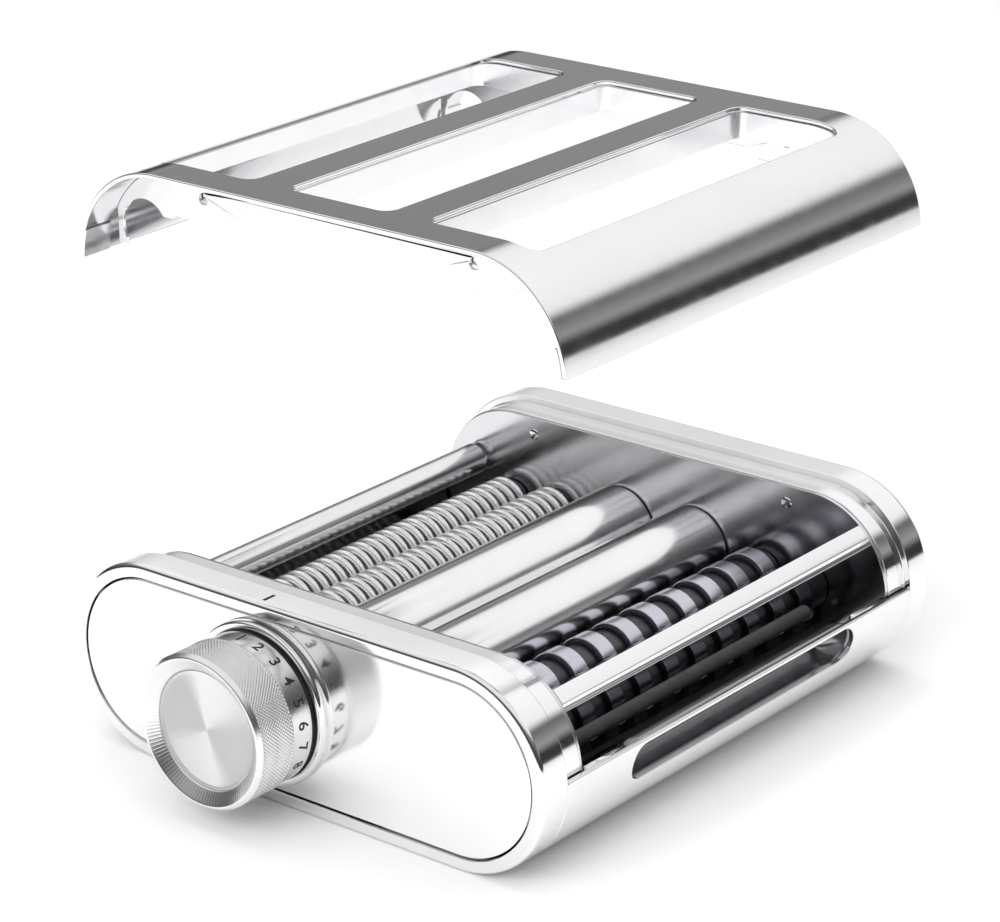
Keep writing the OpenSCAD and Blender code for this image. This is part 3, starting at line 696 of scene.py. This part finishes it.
def cutter(kind, side, shift, pitch, disc, outline, core_material, disc_material):
    """Core and journals with a row of cutting discs."""
    node = f"{kind}_cutter_{side}"
    body = f"{kind}_{side}"
    lo, hi = box(node)
    x = (lo.x + hi.x) / 2
    z = (lo.z + hi.z) / 2
    r = (hi.z - lo.z) / 2
    end = PLATE - 0.4
    edge = 0.3
    profile = [(lo.y, 0), (lo.y, JOURNAL_R - edge), (lo.y + edge, JOURNAL_R), (-end, JOURNAL_R)]
    profile += [(-end, CORE_R - edge), (-end + edge, CORE_R), (end - edge, CORE_R), (end, CORE_R - edge)]
    profile += [(end, JOURNAL_R), (hi.y, JOURNAL_R), (hi.y, 0)]
    # The core's colour comes from core_material, here a near-black painted shade for the grooves between ridges and
    # discs.
    make(body + "_core", *lathe(profile, x, z, 96, False), body, core_material, "cutter_steel", (node,))
    sunk = CORE_R - 0.2
    verts, faces = [], []
    count = int(PLATE / pitch)
    for i in range(-count, count + 1):
        middle = i * pitch + shift
        if abs(middle) + disc / 2 > end:
            continue
        v, f = lathe([(middle + t * disc / 2, sunk + (r - sunk) * h) for t, h in outline], x, z, 96)
        faces += [[k + len(verts) for k in face] for face in f]
        verts += v
    make(body + "_discs", verts, faces, body, disc_material, "cutter_steel")


# ---------- dial ----------

def knurl(front, back):
    """Depth of a diamond knurl between front and back."""
    pitch = TURN * DIAL_R / KNURL_COUNT

    def height(a, y):
        if not front < y < back:
            return 0.0
        u = a * DIAL_R / pitch
        v = (y - front) / pitch
        ridges = (abs((u + v) % 1 - 0.5), abs((u - v) % 1 - 0.5))
        return KNURL_DEPTH * (1 - 2 * min(ridges)) * 0.9
    return height


def dial_grip():
    """Knurled grip with a bright rim and a dished front."""
    lo, hi = box("dial_grip")
    front, back = lo.y, hi.y
    knurl_front, knurl_back = front + 1.5, back - 0.7
    rows, segments = 66, 6 * KNURL_COUNT
    profile = [(back, 4.1), (back, DIAL_R - 1.2), (back - 0.15, DIAL_R - 0.7), (back - 0.6, DIAL_R - 0.3)]
    span = knurl_back - knurl_front
    profile += [(knurl_back - span * k / rows, DIAL_R) for k in range(rows + 1)]
    profile += [(front + 1.3, DIAL_R - 0.1), (front + 1.1, DIAL_R - 0.35), (front + 0.35, DIAL_R - 0.75)]
    profile += [(front + 0.08, DIAL_R - 1.0), (front, DIAL_R - 1.3), (front + 0.08, DIAL_R - 1.6)]
    profile += [(front + 0.4, DIAL_R - 1.9), (front + 2.4, FACE_R + 0.35), (front + 2.75, FACE_R + 0.05)]
    profile += [(front + 3.1, FACE_R), (front + 4.5, FACE_R), (front + 4.5, 4.1)]
    shape = knurl(knurl_front, knurl_back)
    verts, faces = lathe(profile, DIAL_X, ROUND, segments, True, shape)
    make("dial_knurled_grip", verts, faces, "dial", DIAL_METAL, "dial_metal", ("dial_grip",))


def dial_face():
    """Spun disc with a rolled bead round it."""
    lo, hi = box("dial_face")
    front, back = lo.y, hi.y
    r = FACE_R - 0.12
    bead = 0.55
    profile = [(back, 0), (back, r), (front + bead, r)]
    bead_y, bead_r = front + bead, r - bead
    profile += [(bead_y - bead * math.sin(t), bead_r + bead * math.cos(t)) for t in quarter(5)[1:]]
    profile += [(bead_y - bead * math.cos(t), bead_r - bead * 0.8 * math.sin(t)) for t in quarter(4)[1:-1]]
    inner = bead_r - bead * 0.9
    disc_y = front + bead * 0.95
    profile += [(disc_y, inner)]
    profile += [(disc_y - 0.25 * (1 - k / 12), inner * k / 12) for k in range(11, -1, -1)]
    make("dial_spun_face", *lathe(profile, DIAL_X, ROUND, 192, False), "dial", SPUN, "spun_metal", ("dial_face",))


def dial_scale():
    """Plain ring behind the grip that carries the numbers."""
    lo, hi = box("dial_scale")
    r = (hi.z - lo.z) / 2
    profile = [(lo.y, 5), (lo.y, r - 0.3), (lo.y + 0.3, r), (hi.y - 0.3, r), (hi.y, r - 0.3), (hi.y, 5)]
    make("dial_scale_ring", *lathe(profile, DIAL_X, ROUND, 192), "dial", SCALE_METAL, "scale_metal", ("dial_scale",))
    for number in range(1, 9):
        digit(number, math.radians((number - 1) * NUMBER_STEP), (lo.y + hi.y) / 2, r)


def digit(number, angle, y, r):
    """One number, wrapped onto the scale ring with its top towards the body."""
    curve = bpy.data.curves.new(f"digit_curve_{number}", "FONT")
    curve.body = str(number)
    curve.size = 5.2
    curve.align_x = "CENTER"
    curve.align_y = "CENTER"
    curve.resolution_u = 6
    curve.offset = 0.07
    source = bpy.data.objects.new(f"digit_source_{number}", curve)
    bpy.context.scene.collection.objects.link(source)
    bpy.context.view_layer.update()
    flat = source.evaluated_get(bpy.context.evaluated_depsgraph_get()).to_mesh()
    bm = bmesh.new()
    bm.from_mesh(flat)
    bpy.data.objects.remove(source)
    bmesh.ops.triangulate(bm, faces=bm.faces)
    bmesh.ops.dissolve_limit(bm, angle_limit=0.01, verts=bm.verts, edges=bm.edges)
    bmesh.ops.triangulate(bm, faces=bm.faces)
    base = [v.co.copy() for v in bm.verts]
    tris = [[v.index for v in f.verts] for f in bm.faces]
    rim = [[v.index for v in e.verts] for e in bm.edges if e.is_boundary]
    bm.free()
    verts = []
    for height in (0.05, -0.1):
        for p in base:
            a = angle + p.x / r
            rr = r + height
            verts.append((DIAL_X + rr * math.sin(a), y + p.y, ROUND + rr * math.cos(a)))
    n = len(base)
    faces = tris + [[k + n for k in reversed(t)] for t in tris]
    faces += [[a, b, b + n, a + n] for a, b in rim]
    make(f"dial_number_{number}", verts, faces, "dial", INK, "scale_metal")


def dial_base():
    """Bright ring on the face panel with a black seal inside it."""
    lo, hi = box("dial_base_ring")
    r = (hi.z - lo.z) / 2
    bore = 20
    profile = [(hi.y, bore), (hi.y, r), (lo.y + 0.9, r), (lo.y + 0.35, r - 0.2), (lo.y, r - 0.7), (lo.y, bore)]
    ring = lathe(profile, DIAL_X, ROUND, 160)
    make("dial_base_turned", *ring, "housing", POLISHED, "chrome_trim", ("dial_base_ring",))
    seal_r, seal_bore = r - 2.4, bore + 0.2
    back, front = lo.y + 0.1, lo.y - 0.85
    seal = [(back, seal_bore), (back, seal_r), (front + 0.1, seal_r), (front, seal_r - 0.3), (front, seal_bore)]
    make("dial_seal", *lathe(seal, DIAL_X, ROUND, 128), "housing", SEAL, "dark_mark")


# ---------- cover ----------

def cover_shell():
    """Formed cover with three feed slots."""
    reach = SIDE + ROUND * math.acos((COVER_LO.z - LIFT - ROUND) / ROUND)
    half = COVER_HI.y
    outer = rounded_rect(-reach, -half, reach, half, 1.0)
    slot = box("feed_chute_middle")[1]
    corner = 4
    holes = []
    for x in (-SLOT_X, 0, SLOT_X):
        left, right = round_to_sheet(x - slot.x), round_to_sheet(x + slot.x)
        holes.append(hole(rounded_rect(left, -slot.y, right, slot.y, corner, 10)))
    place = wrapped(lift=LIFT)
    verts, faces, normals = cut_sheet(outer, holes, place, SHEET, 0.4, bend_lines(reach, half))
    make("cover_formed", verts, faces, "cover", COVER_STEEL, "cover_steel", ("cover_shell",), normals)


def round_to_sheet(x):
    """Distance round the cover from its middle to the place above x."""
    over = max(0.0, abs(x) - SIDE)
    return math.copysign(min(abs(x), SIDE) + ROUND * math.asin(over / ROUND), x)


def cad_looks():
    """CAD nodes whose shape is right get a material, and soft edges where they show."""
    looks = {
        "index_mark": (INK, 0), "idler_pin": (MACHINED, 0.2), "front_bushes": (BRONZE, 0), "rear_bushes": (BRONZE, 0),
        "cover_rib_front": (RIB_STEEL, 0.2), "cover_rib_rear": (RIB_STEEL, 0.2),
        "feed_chute_left": (CHUTE_STEEL, 0.2), "feed_chute_middle": (CHUTE_STEEL, 0.2),
        "feed_chute_right": (CHUTE_STEEL, 0.2), "drive_shaft": (MACHINED, 0.3),
        "cover_feet_left": (RIB_STEEL, 0.1), "cover_feet_right": (RIB_STEEL, 0.1),
    }
    for name, node in frame["nodes"].items():
        if node.hide_render:
            continue
        material, width = looks.get(name, (COMB_PLASTIC if "comb" in name or "scraper" in name else MACHINED, 0))
        node.data.materials.clear()
        node.data.materials.append(material)
        if width:
            soften(node, width)


# ---------- stage ----------

def world():
    """Plain studio surroundings: a dark band along the horizon, grey above it, then bright panels."""
    sky = bpy.data.worlds.new("studio")
    bpy.context.scene.world = sky
    sky.use_nodes = True
    tree = sky.node_tree
    back = tree.nodes["Background"]
    coords = tree.nodes.new("ShaderNodeTexCoord")
    split = tree.nodes.new("ShaderNodeSeparateXYZ")
    link(tree, coords, "Generated", split, "Vector")
    rear = height_ramp(tree, split, REAR_SKY)
    front = height_ramp(tree, split, FRONT_SKY)
    side = tree.nodes.new("ShaderNodeMapRange")
    side.inputs["From Min"].default_value = -0.1
    side.inputs["From Max"].default_value = 0.5
    link(tree, split, "Y", side, "Value")
    around = tree.nodes.new("ShaderNodeMix")
    around.data_type = "RGBA"
    link(tree, side, "Result", around, "Factor")
    tree.links.new(front.outputs["Color"], around.inputs[6])
    tree.links.new(rear.outputs["Color"], around.inputs[7])
    rays = tree.nodes.new("ShaderNodeLightPath")
    seen = tree.nodes.new("ShaderNodeMix")
    seen.data_type = "RGBA"
    link(tree, rays, "Is Camera Ray", seen, "Factor")
    tree.links.new(around.outputs[2], seen.inputs[6])
    seen.inputs[7].default_value = (1, 1, 1, 1)
    tree.links.new(seen.outputs[2], back.inputs["Color"])


def height_ramp(tree, split, stops):
    """Brightness by height, from straight down to straight up."""
    upward = tree.nodes.new("ShaderNodeMapRange")
    upward.inputs["From Min"].default_value = -1
    upward.inputs["From Max"].default_value = 1
    link(tree, split, "Z", upward, "Value")
    ramp = tree.nodes.new("ShaderNodeValToRGB")
    fill_ramp(ramp, [((1 + z) / 2, value) for z, value in stops])
    link(tree, upward, "Result", ramp, "Fac")
    return ramp


def fill_ramp(ramp, stops):
    elements = ramp.color_ramp.elements
    while len(elements) < len(stops):
        elements.new(0.5)
    for element, (place, value) in zip(elements, stops):
        element.position = place
        element.color = (value, value, value, 1)


def area_light(name, spot, aim, size, power):
    data = bpy.data.lights.new(name, "AREA")
    data.shape = "RECTANGLE"
    data.size, data.size_y = size
    data.energy = power
    lamp = bpy.data.objects.new(name, data)
    lamp.location = spot
    lamp.visible_glossy = False
    lamp.rotation_mode = "QUATERNION"
    lamp.rotation_quaternion = (Vector(aim) - Vector(spot)).to_track_quat("-Z", "Y")
    bpy.context.scene.collection.objects.link(lamp)
    return lamp


def stage():
    mesh = bpy.data.meshes.new("floor")
    reach = 1.5
    corners = [(-reach, -reach, 0), (reach, -reach, 0), (reach, reach, 0), (-reach, reach, 0)]
    mesh.from_pydata(corners, [], [(0, 1, 2, 3)])
    mesh.materials.append(matte("floor_white", (0.93, 0.93, 0.93), (0.95, 0.95, 0.95)))
    floor = bpy.data.objects.new("floor", mesh)
    bpy.context.scene.collection.objects.link(floor)
    area_light("overhead", (0.0, 0.2, 1.6), (0, 0, 0), (1.8, 1.8), 11)
    area_light("front_fill", (0.3, -1.6, 1.1), (0, -0.1, 0), (2.0, 1.2), 24)


def camera():
    """Camera at the product view's angle: right of the dial and above it."""
    data = bpy.data.cameras.new("camera")
    data.sensor_width = 36.0
    data.lens = 129.0
    data.clip_start = 0.01
    data.clip_end = 20.0
    eye = bpy.data.objects.new("camera", data)
    forward = Vector((-0.59125, 0.71886, -0.36559)).normalized()
    right = Vector((0.77575, 0.63088, -0.01407)).normalized()
    up = right.cross(forward)
    turn = Matrix((right, up, -forward)).transposed().to_4x4()
    eye.matrix_world = Matrix.Translation((0.6118, -0.7471, 0.4484)) @ turn
    data.shift_y = 0.024
    bpy.context.scene.collection.objects.link(eye)
    bpy.context.scene.camera = eye


# ---------- the object ----------

DIAL_X = middle_of("dial_grip").x
DIAL_R = box("dial_grip")[1].x - DIAL_X
FACE_R = box("dial_face")[1].x - middle_of("dial_face").x
KNURL_COUNT = 126                      # diamonds round the grip
KNURL_DEPTH = 0.42
NUMBER_STEP = 17.0                     # degrees between the dial's numbers
SLOT_X = middle_of("feed_chute_right").x
ADJUST_X = middle_of("adjustable_roller").x
GAP_TRAVEL = 1.6
LINK_Z = middle_of("carrier_link_bar").z
CORE_R = 7.0
CUTTERS = [f"{kind}_cutter_{side}" for kind in ("spaghetti", "fettuccine") for side in ("left", "right")]
JOURNALS = [(middle_of(n).x, middle_of(n).z) for n in (*CUTTERS[:2], "drive_roller", *CUTTERS[2:])]
SPAGHETTI_PITCH, SPAGHETTI_DISC = 4, 2.5
FETTUCCINE_PITCH, FETTUCCINE_DISC = 13, 6.1
# Outlines across one ridge or disc, as (place from -1 to 1, height from 0 to 1)
RIDGE = [(-1, 0), (-0.98, 0.2), (-0.9, 0.44), (-0.75, 0.66), (-0.55, 0.835), (-0.3, 0.954), (0, 1)]
RIDGE += [(-across, high) for across, high in RIDGE[-2::-1]]
DISC = [(-1, 0), (-1, 0.82), (-0.97, 0.95), (-0.9, 1), (0.9, 1), (0.97, 0.95), (1, 0.82), (1, 0)]

# Surroundings as (height of the direction, brightness)
REAR_SKY = [
    (-1, 0.95), (-0.06, 0.95), (-0.03, 0.03), (0.12, 0.04), (0.22, 0.35),
    (0.40, 0.13), (0.48, 1.0), (0.7, 1.1), (1, 0.5),
]
FRONT_SKY = [(-1, 0.95), (-0.06, 0.95), (-0.03, 0.05), (0.25, 0.07), (0.5, 0.22), (0.62, 0.9), (1, 0.9)]

scene = bpy.context.scene
scene.view_settings.view_transform = "Standard"
scene.view_settings.look = "None"

camera()
world()
stage()

end_cap("front_cap_cast", "front_end_cap", 1)
end_cap("rear_cap_cast", "rear_end_cap", -1)
face_panel("front_panel_polished", "front_face_panel", -1)
face_panel("rear_panel_polished", "rear_face_panel", 1)
wall_plate("front_mirror_plate", "front_wall_plate", 1)
wall_plate("rear_mirror_plate", "rear_wall_plate", -1)
studs("front_dome_studs", "front_detent_studs", 1)
studs("rear_dome_studs", "rear_detent_studs", -1)
lower_shell()
grip_pocket()
rails()
hub()
smooth_roller("drive_roller_polished", "drive_roller", "drive_train")
smooth_roller("adjustable_roller_polished", "adjustable_roller", "adjustable")
# Near-black spaghetti cores: painted shade in the grooves between the ridges.
cutter("spaghetti", "left", 0, SPAGHETTI_PITCH, SPAGHETTI_DISC, RIDGE, SHADED_RIDGE_CORE, RIDGE_STEEL)
cutter("spaghetti", "right", SPAGHETTI_PITCH / 2, SPAGHETTI_PITCH, SPAGHETTI_DISC, RIDGE, SHADED_RIDGE_CORE, RIDGE_STEEL)
# Near-black fettuccine cores: painted shade in the grooves between the discs.
cutter("fettuccine", "left", 0, FETTUCCINE_PITCH, FETTUCCINE_DISC, DISC, SHADED_DISC_CORE, CUTTER_STEEL)
# The right fettuccine discs get the darker copy of the disc colour: painted shade.
cutter("fettuccine", "right", FETTUCCINE_PITCH / 2, FETTUCCINE_PITCH, FETTUCCINE_DISC, DISC, SHADED_DISC_CORE, SHADED_CUTTER)
dial_grip()
dial_face()
dial_scale()
dial_base()
cover_shell()
cad_looks()
